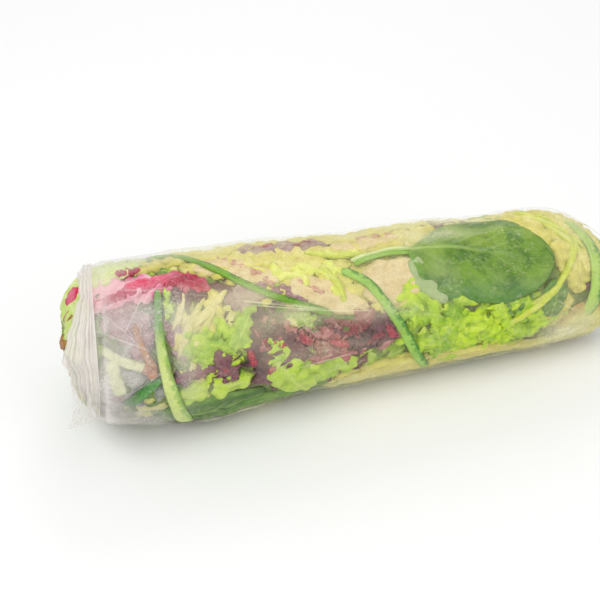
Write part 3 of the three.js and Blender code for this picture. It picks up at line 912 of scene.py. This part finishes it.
# The leaves that show: habit, share of their veins, places, and colours of blade, shade, edge and rib
SHOWN_SORTS = {
    "lime_lettuce": (
        "curly",
        0.12,
        (
            Clump(36, 2, 20, 15, 15, 21, 15, 1.6),
            Clump(20, 22, 7, 10, 4, 17, 12, 1.4),
            Clump(-43, 30, 7, 20, 9, 15, 11, 1.4),
            Clump(60, 4, 7, 14, 4, 16, 11, 1.8),
            Leaf(15, 38, 95, 16, 13, 0.9),
            Leaf(27, 22, 60, 18, 12, 1.0),
            Leaf(44, 18, 100, 18, 13, 1.1),
            Leaf(-56, 65, -95, 10, 4.5, 0.8),
            Leaf(-26, 16, -60, 20, 14, 1.0),
        ),
        (rgb(188, 218, 14), rgb(116, 166, 4), rgb(206, 228, 46), rgb(218, 230, 90)),
    ),
    "bright_leaf": (
        "soft",
        0.2,
        (
            Leaf(-24, -6, -62, 30, 15, 1.1),
            Leaf(-14, -12, 15, 26, 12, 1.6),
            Leaf(-46, -4, 8, 24, 11, 1.5),
            Leaf(-36, 40, 60, 16, 7, 1.2),
            Leaf(-47, 46, 56, 20, 8, 2.3),
        ),
        (rgb(184, 212, 62), rgb(136, 176, 38), rgb(196, 218, 84), rgb(214, 222, 130)),
    ),
    "deep_green_leaf": (
        "flat",
        0.2,
        (
            Leaf(-48, -26, 6, 34, 14, 1.4),
            Leaf(-34, -38, -2, 30, 12, 1.3),
            Leaf(-22, -34, 12, 24, 9, 1.7),
            Leaf(61, 20, 75, 14, 9, 1.2),
            Leaf(48, 20, 10, 14, 8, 1.9),
        ),
        (rgb(86, 134, 34), rgb(48, 92, 20), rgb(112, 158, 50), rgb(168, 190, 96)),
    ),
    "plum_lettuce": (
        "jagged",
        0.05,
        (
            Leaf(-43, 14, -72, 13, 8, 1.0),
            Leaf(-52, 12, 12, 14, 5, 1.2),
            Leaf(-32, 18, -88, 28, 9, 1.1),
            Leaf(-30, 38, -70, 12, 8, 1.3),
            Leaf(-49, 70, -10, 11, 8, 1.1),
            Clump(-8, 17, 18, 9, 8, 13, 9, 1.7),
            Leaf(7, 24, -20, 13, 9, 1.4),
        ),
        (rgb(110, 46, 68), rgb(62, 22, 46), rgb(94, 26, 56), rgb(170, 116, 124)),
    ),
    "rose_lettuce": (
        "curly",
        0.15,
        (
            Clump(-8, 24, 16, 9, 6, 16, 10, 1.5),
            Leaf(-25, 33, -40, 16, 9, 1.3),
            Leaf(-31, 24, -70, 14, 5, 1.0),
            Leaf(-29, 6, -80, 12, 4, 1.0),
            Leaf(-12, 6, 0, 22, 8, 1.7),
            Leaf(4, 8, 10, 18, 9, 1.7),
        ),
        (rgb(176, 98, 102), rgb(130, 52, 74), rgb(156, 40, 74), rgb(222, 184, 170)),
    ),
    "crimson_frill": (
        "frilly",
        0.03,
        (
            Leaf(-19, 24, -40, 6, 4, 0.9),
            Leaf(-15, 15, -80, 6, 3, 0.9),
            Leaf(-3, 25, 25, 8, 5, 0.9),
            Leaf(-9, 16, -20, 7, 3.4, 0.9),
            Leaf(7, 19, -70, 6, 3.4, 0.8),
            Leaf(-35, 18, -80, 6, 3, 1.0),
            Leaf(-30, 8, -80, 6, 3.4, 1.0),
            Leaf(2, 15, 30, 6, 3, 0.9),
            Leaf(-6, 30, -20, 7, 3, 1.0),
            Leaf(-31, 30, -60, 6, 2.6, 0.9),
            Leaf(-27, 24, -30, 6, 2.6, 1.0),
            Leaf(-43, 12, -70, 6, 2.4, 1.0),
            Leaf(-24, 106, 0, 8, 2.4, 0.75),
            Leaf(-12, 104, 10, 6, 2.4, 0.75),
        ),
        (rgb(182, 12, 66), rgb(122, 8, 50), rgb(140, 24, 62), rgb(206, 110, 134)),
    ),
    "cream_leaf": (
        "soft",
        0.15,
        (
            Leaf(-22, 82, -14, 36, 24, 1.7, 2.0),
            Leaf(4, 58, -28, 40, 24, 1.9, -2.0),
            Leaf(-24, 60, -22, 26, 10, 1.9),
            Leaf(-30, 98, 4, 40, 16, 1.4),
            Leaf(60, 100, -2, 44, 30, 1.3),
            Leaf(44, 120, 2, 44, 26, 1.4),
            Leaf(71, 72, 84, 34, 16, 1.5),
            Leaf(71, 46, 80, 20, 10, 1.4),
            Leaf(16, 104, 4, 34, 22, 1.6),
            Leaf(-6, 102, -4, 36, 16, 1.8),
            Leaf(66, -4, -50, 26, 16, 2.2),
            Leaf(-48, 50, 52, 25, 12, 1.8),
            Leaf(30, -35, -4, 80, 18, 1.1),
            Leaf(2, -24, 14, 34, 10, 2.0),
            Leaf(-58, 112, 2, 34, 14, 1.2),
            Leaf(-32, 124, 2, 46, 20, 1.0),
            Leaf(4, 128, 0, 46, 20, 0.9),
            Leaf(36, 134, 0, 44, 20, 0.9),
            Leaf(66, 122, 0, 30, 24, 1.0),
            Leaf(80, 100, 92, 40, 9, 0.9),
            Leaf(64, -44, 0, 26, 14, 1.0),
        ),
        (rgb(230, 218, 122), rgb(208, 198, 86), rgb(220, 214, 96), rgb(240, 232, 156)),
    ),
    "tan_leaf": (
        "flat",
        0.12,
        (
            Leaf(12, 58, 5, 24, 17, 1.3),
            Leaf(-10, 53, -30, 26, 11, 1.4),
            Leaf(-38, 92, -14, 18, 9, 1.5),
            Leaf(8, 102, 5, 24, 8, 1.5),
            Leaf(-30, 78, -20, 18, 8, 1.5),
        ),
        (rgb(236, 216, 166), rgb(222, 196, 142), rgb(232, 218, 142), rgb(246, 232, 190)),
    ),
    "straw_rib": (
        "flat",
        0.1,
        (
            Leaf(-45, 56, 40, 18, 2.6, 1.4, 0.8),
            Leaf(-51, 46, 60, 21, 2.4, 1.3, -0.8),
            Leaf(-47, 44, 54, 16, 1.8, 1.5),
            Leaf(-53, 58, 66, 13, 1.8, 1.6, 0.5),
        ),
        (rgb(230, 220, 146), rgb(206, 196, 112), rgb(218, 208, 128), rgb(242, 234, 178)),
    ),
    "pink_edge": (
        "frilly",
        0.1,
        (
            Leaf(-34, 90, -50, 18, 3.2, 1.0),
            Leaf(-28, 77, -60, 12, 2.4, 1.0),
            Leaf(10, 108, -14, 18, 2.6, 1.0),
            Leaf(-14, 60, -40, 12, 2.4, 1.0),
        ),
        (rgb(216, 170, 146), rgb(196, 132, 116), rgb(230, 204, 160), rgb(236, 212, 184)),
    ),
    "brown_stem": (
        "rib",
        0.1,
        (Leaf(-65, 37, -76, 15, 1.5, 0.9, 1.0), Leaf(-64.5, 21, -60, 5, 2.6, 0.8)),
        (rgb(198, 142, 82), rgb(172, 102, 44), rgb(190, 128, 72), rgb(222, 186, 136)),
    ),
    "pale_stem": (
        "rib",
        0.1,
        (Leaf(-71, 31, -34, 14, 2.6, 0.8, 0.8), Leaf(-74, 20, -84, 12, 4.0, 0.7, 0.6)),
        (rgb(226, 230, 178), rgb(202, 212, 146), rgb(214, 222, 160), rgb(240, 240, 210)),
    ),
    "mauve_leaf": (
        "soft",
        0.1,
        (
            Leaf(-68, 54, -60, 20, 15, 1.7),
            Leaf(-18, 106, -2, 30, 9, 0.9),
            Leaf(-33, 62, 20, 14, 10, 1.3),
            Leaf(-21, 57, -20, 13, 7, 1.2),
            Leaf(-67, 42, -76, 18, 8, 1.5),
            Leaf(-55, 40, -80, 18, 7, 2.0),
            Leaf(-74, 6, 40, 5, 3, 0.9),
        ),
        (rgb(176, 136, 138), rgb(140, 90, 104), rgb(188, 158, 146), rgb(208, 182, 180)),
    ),
    "grey_leaf": (
        "soft",
        0.1,
        (
            Leaf(-72, 20, 80, 26, 16, 1.9),
            Leaf(-66, 2, 10, 20, 12, 2.2),
            Leaf(-76, 2, 70, 20, 12, 2.2),
            Leaf(-77.5, -12, 88, 46, 11, 1.4),
        ),
        (rgb(170, 170, 160), rgb(126, 132, 122), rgb(178, 184, 158), rgb(214, 214, 206)),
    ),
    "pale_frisee": (
        "curly",
        0.15,
        (
            Leaf(-21, 75, -24, 19, 9, 1.0, -1.0),
            Leaf(-11, 76, -12, 20, 9, 1.1, 1.0),
            Leaf(-8, 64, -76, 15, 6, 1.0),
            Leaf(-2, 88, 0, 16, 6, 1.3),
            Leaf(-17, 65, 30, 10, 5, 1.2),
        ),
        (rgb(228, 232, 112), rgb(204, 214, 70), rgb(222, 228, 100), rgb(240, 240, 160)),
    ),
    "yellow_rib": (
        "rib",
        0.2,
        (
            Leaf(61, 33, 44, 40, 1.5, 0.9, 4.5),
            Leaf(63, 38, 46, 28, 0.9, 1.0, 4.0),
            Leaf(66, 86, -62, 28, 0.6, 1.1, 1.5),
            Leaf(69, 84, -62, 24, 0.5, 1.1, 1.5),
            Leaf(63, 100, -56, 22, 0.6, 1.1, 1.5),
            Leaf(-7, 61, -72, 14, 1.8, 0.9, -1.2),
            Leaf(-4, 87, -10, 18, 1.6, 1.1, 1.0),
        ),
        (rgb(218, 226, 104), rgb(198, 210, 44), rgb(208, 220, 60), rgb(236, 236, 120)),
    ),
}
# The sorts that keep their clear colour
FRESH = (
    "plum_lettuce",
    "rose_lettuce",
    "lime_lettuce",
    "bright_leaf",
    "deep_green_leaf",
    "pale_frisee",
    "crimson_frill",
)


class ROLL_OT_leaves(bpy.types.Operator):
    """Models the leaves that show under the paper"""

    bl_idname = "roll.leaves"
    bl_label = "Shown leaves"

    def execute(self, context):
        for number, (name, (habit, veins, leaves, colours)) in enumerate(SHOWN_SORTS.items()):
            piece = leaves_piece(name, leaves, HABITS[habit], 7000 + 500 * number)
            washed = FRESH_WASH if name in FRESH else DULL_WASH
            finish = leaf_finish(name + "_skin", *colours, veins, washed)
            finished(piece, finish, ["salad_filling"])
        return {"FINISHED"}


class ROLL_OT_radicchio(bpy.types.Operator):
    """Models the magenta radicchio leaf"""

    bl_idname = "roll.radicchio"
    bl_label = "Radicchio leaf"

    def execute(self, context):
        pale = (Leaf(-66, 84, -8, 30, 14, 1.3, 1.2), Leaf(-70, 75, 14, 18, 7, 1.1))
        piece = leaves_piece("radicchio_pale", pale, HABITS["soft"], 4100)
        pinks = (rgb(212, 92, 134), rgb(230, 138, 166), rgb(242, 206, 206))
        finish = radicchio_finish("radicchio_pink", *pinks, 0.6)
        finished(piece, finish, ["radicchio_leaf"])
        red = (
            Leaf(-59, 83, 9, 19, 5.6, 0.75, 0.8),
            Leaf(-48.5, 78, -30, 12, 8, 0.75),
            Leaf(-65, 99, 10, 8, 3.2, 0.8),
            Leaf(-70, 75, 14, 14, 4, 0.9),
            Leaf(-81.4, 95, 88, 8, 4, -0.5),
        )
        habit = HABITS["jagged"]._replace(lobes=0.13, ruffle=0.6, thickness=0.5, steps=(60, 26))
        piece = leaves_piece("radicchio_red", red, habit, 4200)
        crimsons = (rgb(164, 2, 56), rgb(216, 10, 80), rgb(238, 160, 180))
        finish = radicchio_finish("radicchio_crimson", *crimsons, 0.3)
        finished(piece, finish, ["radicchio_leaf"])
        return {"FINISHED"}


def along_line(line, count):
    """Stations and angles evenly spread along a smooth line through given places."""
    knots = np.array(line, float)
    padded = np.vstack((2 * knots[0] - knots[1], knots, 2 * knots[-1] - knots[-2]))
    share = np.linspace(0, len(knots) - 1, count)
    first = np.minimum(share.astype(int), len(knots) - 2)
    t = (share - first)[:, None]
    a, b, c, d = (padded[first + k] for k in range(4))
    course = b * 2 + (c - a) * t + (2 * a - 5 * b + 4 * c - d) * t**2 + (3 * b - a - 3 * c + d) * t**3
    return course[:, 0] / 2, course[:, 1] / 2


def strip_piece(name, line, start_width, end_width, thickness, depth, seed):
    """A cut strip, rounded along its edges, that lies along a line under the paper."""
    piece, u, v = grid_piece(name, 90, 12)
    steps = np.linspace(0, 1, 200)
    stations, angles = along_line(line, len(steps))
    station, angle = np.interp(u, steps, stations), np.interp(u, steps, angles)
    arc = arc_per_degree(station)
    after, before = np.minimum(u + 0.01, 1), np.maximum(u - 0.01, 0)
    climb = np.interp(after, steps, angles) - np.interp(before, steps, angles)
    run = np.stack((np.interp(after, steps, stations) - np.interp(before, steps, stations), climb * arc), -1)
    run /= np.linalg.norm(run, axis=1, keepdims=True)
    turn = 2 * math.pi * v
    taper = np.sqrt(np.clip(1 - np.abs(2 * u - 1) ** 24, 0.05, 1))
    uneven = 1 + 0.06 * crumple(u * 60, 0 * u, 9.0, seed)
    half = (start_width + (end_width - start_width) * u) / 2 * taper * uneven
    squared = np.sign(np.cos(turn)) * np.abs(np.cos(turn)) ** 0.7
    t = half * squared
    rise = thickness / 2 * taper * np.sign(np.sin(turn)) * np.abs(np.sin(turn)) ** 0.7
    place_points(
        piece,
        under_skin(station - run[:, 1] * t, angle + run[:, 0] * t / arc, depth + thickness / 2 + rise),
    )
    weld(piece, 0.01)
    alone(piece)
    bpy.ops.object.mode_set(mode="EDIT")
    bpy.ops.mesh.select_all(action="DESELECT")
    bpy.ops.mesh.select_non_manifold()
    bpy.ops.mesh.fill_holes(sides=0)
    bpy.ops.object.mode_set(mode="OBJECT")
    facing_out(piece)
    return piece


Strip = namedtuple("Strip", "node line start_width end_width thickness rind flesh start", defaults=(None,))
STRIPS = (
    Strip(
        "green_strip_long",
        ((-58, 124), (-50, 112), (-43, 94), (-34, 71), (-22, 53), (-10, 39)),
        2.0,
        2.5,
        1.3,
        rgb(62, 116, 8),
        rgb(112, 162, 28),
    ),
    Strip(
        "green_strip_bent",
        ((-4, 71), (2, 59), (6, 43), (10, 23), (14, 0), (21, -36)),
        3.0,
        3.2,
        1.4,
        rgb(44, 128, 4),
        rgb(150, 196, 70),
    ),
    Strip(
        "green_strip_left",
        ((-58, 76), (-60, 46), (-60, 20), (-58, -12), (-55, -43)),
        2.0,
        4.8,
        1.5,
        rgb(140, 182, 66),
        rgb(206, 220, 128),
        rgb(84, 142, 40),
    ),
    Strip(
        "green_strip_end",
        ((74, 96), (77, 67), (77, 40), (75, 15), (72, -2)),
        4.2,
        5.0,
        1.5,
        rgb(62, 132, 8),
        rgb(166, 202, 80),
    ),
)


class ROLL_OT_strips(bpy.types.Operator):
    """Models the green strips and the stub of a stalk"""

    bl_idname = "roll.strips"
    bl_label = "Green strips"

    def execute(self, context):
        for number, strip in enumerate(STRIPS):
            name = strip.node + "_cut"
            sizes = (strip.start_width, strip.end_width, strip.thickness)
            piece = strip_piece(name, strip.line, *sizes, STRIP_DEPTH, number)
            finish = strip_finish(name + "_skin", strip.rind, strip.flesh, strip.start)
            finished(piece, finish, [strip.node])
        piece = strip_piece("green_stub_cut", ((-72, -3), (-68, 4), (-62, 15)), 3.8, 3.0, 1.8, 0.6, 9)
        finish = strip_finish("stub_green", rgb(44, 112, 30), rgb(74, 142, 52), rgb(36, 110, 24))
        finished(piece, finish, ["green_stub"])
        return {"FINISHED"}


class ROLL_OT_spinach(bpy.types.Operator):
    """Models the spinach leaf and its stalk"""

    bl_idname = "roll.spinach"
    bl_label = "Spinach leaf"

    def execute(self, context):
        piece, u, across = grid_piece("spinach", 130, 60)
        v = 2 * across - 1
        line = ((0, 76), (9, 81), (18, 80), (34, 74), (48, 61), (62, 50))
        steps = np.linspace(0, 1, 300)
        stations, angles = along_line(line, len(steps))
        station, angle = np.interp(u, steps, stations), np.interp(u, steps, angles)
        arc = arc_per_degree(station)
        run = np.stack(
            (np.interp(u, steps, np.gradient(stations)), np.interp(u, steps, np.gradient(angles)) * arc), -1
        )
        run /= np.linalg.norm(run, axis=1, keepdims=True)
        stalk_share, blade_half, stalk_half = 0.4, 17.2, 1.3
        blade = np.clip((u - stalk_share) / (1 - stalk_share), 0, 1)
        half = blade_half * np.sin(math.pi * np.minimum(blade**0.9, 0.995)) ** 0.5
        half = np.maximum(half * (1 + 0.02 * np.sin(u * 40)), stalk_half)
        upper = np.clip(0.12 + 2.2 * blade, 0, 1.05)
        lower = 1 + 0.35 * smooth(0.45, 0.0, blade)
        half = np.maximum(half * np.where(v > 0, upper, lower), stalk_half)
        t = v * half
        veins = np.abs((SPINACH_VEINS * u - SPINACH_SLANT * np.abs(v)) % 1 - 0.5)
        relief = 0.25 * smooth(0.12, 0.0, veins) * smooth(0.34, 0.46, u)
        relief = relief + 0.5 * smooth(0.1, 0.0, np.abs(v))
        sunk = 0.35 * (crumple(station, t, 12.0, 31) + 0.6)
        sunk = sunk + 0.8 * smooth(0.86, 1.0, np.abs(v)) * (blade > 0)
        depth = 0.75 + np.maximum(sunk - relief, -0.25)
        place_points(piece, under_skin(station - run[:, 1] * t, angle + run[:, 0] * t / arc, depth))
        modify(piece, "SOLIDIFY", thickness=0.6 * MM, offset=0.0)
        finished(piece, spinach_finish(), ["spinach_leaf"])
        piece = leaf_piece("spinach_fold", Leaf(21, 52, -66, 19, 7, 0.8, 1.5), HABITS["flat"], 31)
        modify(piece, "SOLIDIFY", thickness=0.5 * MM, offset=0.0)
        greys = (rgb(160, 180, 122), rgb(142, 166, 104), rgb(168, 186, 130), rgb(178, 192, 140))
        finished(piece, leaf_finish("spinach_underside", *greys, 0.05, 0.0), ["spinach_leaf"])
        return {"FINISHED"}


class ROLL_OT_end_leaves(bpy.types.Operator):
    """Models the leaves that stick out of the two ends"""

    bl_idname = "roll.end_leaves"
    bl_label = "End leaves"

    def execute(self, context):
        habit = HABITS["soft"]._replace(ruffle=0.3, lobes=0.03, thickness=0.6)
        left = (
            Leaf(-72, 120, 0, 28, 30, 0.6),
            Leaf(-82.5, 88, 94, 34, 8, 0.3),
            Leaf(-84.5, 52, 92, 20, 5, 0.4),
        )
        piece = leaves_piece("left_end_lettuce", left, habit, 5200)
        greens = (rgb(220, 234, 144), rgb(198, 220, 112), rgb(224, 234, 156), rgb(236, 240, 190))
        finished(piece, leaf_finish("end_lettuce_skin", *greens), ["lettuce_leaf_left"])
        spots = (
            Leaf(-84.0, 77, 90, 4.5, 3.0, 0.0),
            Leaf(-86.6, 56, 80, 3.4, 1.4, 0.0),
            Leaf(-86.6, 64, 90, 3.2, 1.4, 0.0),
        )
        small = habit._replace(ruffle=0.1, thickness=0.8, steps=(12, 8))
        piece = leaves_piece("left_end_browned", spots, small, 5250)
        browns = (rgb(172, 112, 52), rgb(112, 66, 30), rgb(196, 140, 70), rgb(206, 150, 80))
        finished(piece, leaf_finish("end_lettuce_brown", *browns), ["lettuce_leaf_left"])
        right = (Leaf(76, -26, 6, 26, 30, 0.7), Leaf(82, 6, 90, 18, 9, 0.7))
        piece = leaves_piece("right_end_leaf", right, habit, 5300)
        creams = (rgb(214, 208, 92), rgb(190, 186, 66), rgb(184, 104, 50), rgb(228, 220, 132))
        finish = leaf_finish("browned_leaf_skin", *creams, 0.2, 0.2)
        finished(piece, finish, ["brown_edged_leaf_right"])
        return {"FINISHED"}


def left_rim(angle):
    return -79.5 - 3 * np.cos(np.radians(angle)) + 0.5 * np.sin(np.radians(angle * 5))


def right_rim(angle):
    turn = np.radians(angle)
    return 82 + 3.5 * np.sin(turn) + 0.5 * np.sin(4 * turn + 1)


# The film over the leaves, in mm: its clearance, how deep a leaf can still hold it up,
# how deep it sags, and how far outside the skin the search for leaves starts
CLEARANCE = 0.2
DEEPEST = 5.0
DEEPEST_SAG = 2.6
LEAD = 3.0


def contents_depth(station, angle, deepest):
    """How far under the skin the first leaf lies, at each place, in mm."""
    depsgraph = bpy.context.evaluated_depsgraph_get()
    trees = [
        BVHTree.FromObject(piece, depsgraph)
        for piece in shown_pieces()
        if piece.type == "MESH" and not piece.hide_render
    ]
    start = under_skin(station, angle, 0 * station)
    course = inward(station, angle)
    origins = (start - course * LEAD) * MM
    found = np.full(station.size, deepest)
    for i in range(station.size):
        origin, direction = Vector(origins[i]), Vector(course[i])
        for tree in trees:
            distance = tree.ray_cast(origin, direction, (deepest + LEAD) * MM)[3]
            if distance is not None:
                found[i] = min(found[i], distance / MM - LEAD)
    return found


def taut(limit, rounds):
    """A film over the contents: held up by the high places and sagging a little between."""
    film = limit.copy()
    for _ in range(rounds):
        ends = np.vstack((film[:1], film, film[-1:]))
        around = (np.roll(film, 1, 1) + np.roll(film, -1, 1)) / 2
        film = np.minimum(limit, 0.25 * (ends[:-2] + ends[2:]) + 0.5 * around)
    return film


# Places where the sheet is doubled, puckered or stands off, and so looks milky, and
# places where it clings and is clearer, whose haze is below 0; the milky patch over the spinach's upper edge
# is a painted sheen
Veil = namedtuple("Veil", "station angle length spread haze creased")
VEILS = (
    Veil(-74, 10, 11, 44, 0.38, 0.9),
    Veil(-66, 50, 11, 20, 0.2, 0.8),
    Veil(-55, 24, 6, 30, 0.3, 0.5),
    Veil(-75, 86, 6, 20, 0.3, 0.5),
    Veil(-68, 112, 16, 14, 0.4, 0.3),
    Veil(-44, 110, 16, 12, 0.4, 0.3),
    Veil(-58, 60, 8, 9, 0.25, 0.3),
    Veil(-59, 20, 2.4, 40, -0.45, 0.0),
    Veil(-66, 6, 5, 9, -0.45, 0.0),
    Veil(-36, 58, 9, 10, 0.34, 0.4),
    Veil(-18, 42, 18, 7, 0.36, 1.0),
    Veil(2, 34, 10, 5, 0.25, 1.0),
    Veil(-18, 105, 13, 8, 0.25, 0.3),
    Veil(2, 104, 7, 7, 0.3, 0.2),
    Veil(28, 108, 15, 7, 0.5, 0.4),
    Veil(46, 106, 10, 6, 0.4, 0.3),
    Veil(20, 94, 5, 10, 0.3, 0.3),
    Veil(26, 58, 5, 12, 0.15, 0.3),
    Veil(66, -4, 9, 16, 0.4, 0.9),
    Veil(70, -26, 10, 22, 0.35, 0.6),
    Veil(71, 60, 5, 30, 0.1, 0.5),
    Veil(20, -44, 60, 15, 0.36, 0.3),
    Veil(-2, -22, 14, 7, 0.2, 0.4),
    Veil(-68, -22, 12, 12, 0.3, 0.4),
    Veil(42, 64, 20, 22, -0.22, 0.0),
    Veil(40, 8, 20, 22, -0.16, 0.0),
    Veil(-57, 84, 11, 9, -0.24, 0.0),
    Veil(-24, 2, 8, 16, -0.1, 0.0),
    Veil(-36, 78, 10, 12, -0.1, 0.0),
    Veil(-42, 12, 7, 7, -0.16, 0.1),
    Veil(-28, 14, 6, 16, 0.1, 0.1),
    Veil(-40, -32, 20, 14, -0.3, 0.0),
    Veil(34, 104, 8, 6, 0.25, 0.1),
    Veil(-16, 14, 14, 7, 0.18, 0.1),
    Veil(-36, 30, 9, 9, 0.15, 0.2),
    Veil(-49, 51, 8, 10, 0.24, 0.2),
    # A milky patch over the spinach's upper edge, put there as a painted sheen
    Veil(29, 88, 9, 6, 0.36, 0.1),
    Veil(73, 84, 7, 26, 0.3, 0.3),
    Veil(-22, 53, 4, 4, -0.3, 0.0),
    Veil(-14, 43, 5, 4, -0.3, 0.0),
    Veil(66, -20, 16, 14, 0.22, 0.2),
    Veil(-50, 200, 20, 30, 0.2, 0.5),
    Veil(10, 225, 25, 30, 0.15, 0.5),
    Veil(55, 180, 18, 30, 0.25, 0.5),
    Veil(-20, 160, 18, 20, 0.2, 0.5),
    Veil(75, 210, 10, 40, 0.3, 0.5),
    Veil(-76, 200, 8, 60, 0.35, 0.5),
)


# The lowest haze
CLEAREST = -0.3
# Arc of one degree, for the creases
ARC_MM = 0.42
# Degrees past which the seam no longer shows
FAR_FROM_SEAM = 60


def unrolled(rows, order):
    """Values of a closed film, row by row, in the order of the sheet's points."""
    values = np.empty(order.size)
    values[order] = np.hstack((rows, rows[:, :1])).ravel()
    return values


class ROLL_OT_paper(bpy.types.Operator):
    """Models the rice paper, drawn over the leaves and rolled onto itself"""

    bl_idname = "roll.paper"
    bl_label = "Rice paper"

    def execute(self, context):
        settings = context.scene.roll_paper
        along_count, around_count = 225, 205
        piece, u, v = grid_piece("rice_paper_sheet", along_count, around_count)
        angle = 360 * v - 180
        station = left_rim(angle) + (right_rim(angle) - left_rim(angle)) * u
        order = np.lexsort((v, np.round(u * along_count)))
        rows = (along_count + 1, around_count + 1)
        inner = contents_depth(station, angle, DEEPEST)
        table = inner[order].reshape(rows)[:, :-1]
        film = taut(table - CLEARANCE, 30)
        gap_mm = unrolled(table - film, order)
        slack = np.minimum(taut(table - CLEARANCE, 4), DEEPEST_SAG)
        depth = unrolled(film + 0.6 * (slack - film), order)

        seam = turn_between(angle, settings.seam_angle - 0.62 * station)
        step = settings.seam_step / MM * smooth(-1.0, 1.0, seam) * smooth(120, 10, seam)
        haze = 0.05 * smooth(0, 2, seam) * smooth(100, 60, seam)
        creased = 0.12
        for veil in VEILS:
            along = (station - veil.station) / veil.length
            around = turn_between(angle, veil.angle) / veil.spread
            near = np.exp(-along * along - around * around)
            haze = haze + veil.haze * near
            creased = creased + veil.creased * near
        pucker = crumple(station + 0.2 * angle, angle * 0.3, 8.0, 41)
        pucker = np.maximum(pucker - 0.25, 0) * (0.15 + 0.5 * creased)
        depth = np.maximum(depth, 0.1) - step - pucker
        place_points(piece, under_skin(station, angle, depth))
        mark(piece, "gap_mm", gap_mm)
        mark(piece, "haze", np.maximum(haze, CLEAREST))
        mark(piece, "station_mm", station)
        mark(piece, "arc_mm", angle * ARC_MM)
        seam = np.where(np.abs(seam) < FAR_FROM_SEAM, seam, FAR_FROM_SEAM)
        mark(piece, "seam_mm", seam * arc_per_degree(station))
        weld(piece, 0.02)
        thicken(piece, settings.thickness)
        finish = paper_finish("wet_rice_paper", settings.clear, settings.veil)
        finished(piece, finish, ["rice_paper"])
        return {"FINISHED"}


class ROLL_OT_skirt(bpy.types.Operator):
    """Models the loose pleated paper at the left end"""

    bl_idname = "roll.skirt"
    bl_label = "Pleated paper"

    def execute(self, context):
        piece, u, v = grid_piece("paper_skirt", 130, 70)
        angle = 118 - 130 * u
        fold = -74.0 - 6.0 * u
        flare = smooth(0.0, 0.7, u)
        rim_places = (0, 0.33, 0.62, 0.66, 0.84, 0.88, 1)
        rim = np.interp(u, rim_places, (-77, -79.8, -87.4, -86, -85.6, -86.6, -89))
        ragged = 0.2 * np.sin(u * 47) + 0.15 * np.sin(u * 83 + 1)
        station = fold + (rim + ragged - fold) * v
        drift = 0.25 * np.sin(2.4 * u + 1.5 * v)
        pleat = 0.6 * np.sin(2 * math.pi * (2.6 * v + drift))
        pleat = pleat + 0.4 * np.sin(2 * math.pi * (6.3 * v - 1.6 * drift))
        pleat = pleat * smooth(0.0, 0.15, v) * (0.35 + 0.65 * flare - 0.6 * smooth(0.65, 0.9, u))
        lift = 0.5 + 1.4 * v * np.sin(math.pi * (0.25 + 0.6 * u)) + 0.8 * pleat
        fullness = np.maximum(end_share(station), 0.93)
        place_points(piece, under_skin(station, angle, -lift, fullness))
        mark(piece, "gap_mm", 2.4 - 1.6 * smooth(0.66, 0.9, u))
        fold_line = np.exp(-((v / 0.03) ** 2)) + 0.8 * smooth(0.96, 1.0, v)
        mark(piece, "haze", 0.3 - 0.2 * smooth(0.6, 0.9, u) + 0.25 * fold_line - 0.14 * pleat)
        # Away from every crease and from the seam
        mark(piece, "station_mm", -99.0)
        mark(piece, "arc_mm", 99.0)
        mark(piece, "seam_mm", 9.0)
        thicken(piece, WET_SHEET)
        finish = paper_finish("loose_rice_paper", 0.25, 0.55, rgb(248, 244, 242), 0.2)
        finished(piece, finish, ["rice_paper"])
        return {"FINISHED"}


# ---------------------------------------------------------------- the add-on

STEPS = ("stage", "core", "bed", "leaves", "radicchio", "spinach", "strips", "end_leaves", "paper", "skirt")


class ROLL_PT_panel(bpy.types.Panel):
    """Lists the roll's steps in the sidebar"""

    bl_label = "Rice paper roll"
    bl_space_type = "VIEW_3D"
    bl_region_type = "UI"
    bl_category = "Roll"

    def draw(self, context):
        for step in STEPS:
            self.layout.operator("roll." + step)
        for name in ("roll_stage", "roll_paper"):
            settings = getattr(context.scene, name)
            for setting in settings.bl_rna.properties.keys():
                if setting not in ("rna_type", "name"):
                    self.layout.prop(settings, setting)


CLASSES = (
    StageSettings,
    PaperSettings,
    ROLL_OT_stage,
    ROLL_OT_core,
    ROLL_OT_bed,
    ROLL_OT_leaves,
    ROLL_OT_radicchio,
    ROLL_OT_spinach,
    ROLL_OT_strips,
    ROLL_OT_end_leaves,
    ROLL_OT_paper,
    ROLL_OT_skirt,
    ROLL_PT_panel,
)


def register():
    for item in CLASSES:
        bpy.utils.register_class(item)
    bpy.types.Scene.roll_stage = bpy.props.PointerProperty(type=StageSettings)
    bpy.types.Scene.roll_paper = bpy.props.PointerProperty(type=PaperSettings)


def unregister():
    del bpy.types.Scene.roll_paper
    del bpy.types.Scene.roll_stage
    for item in reversed(CLASSES):
        bpy.utils.unregister_class(item)


def main():
    register()
    for step in STEPS:
        getattr(bpy.ops.roll, step)()


if __name__ == "__main__":
    main()
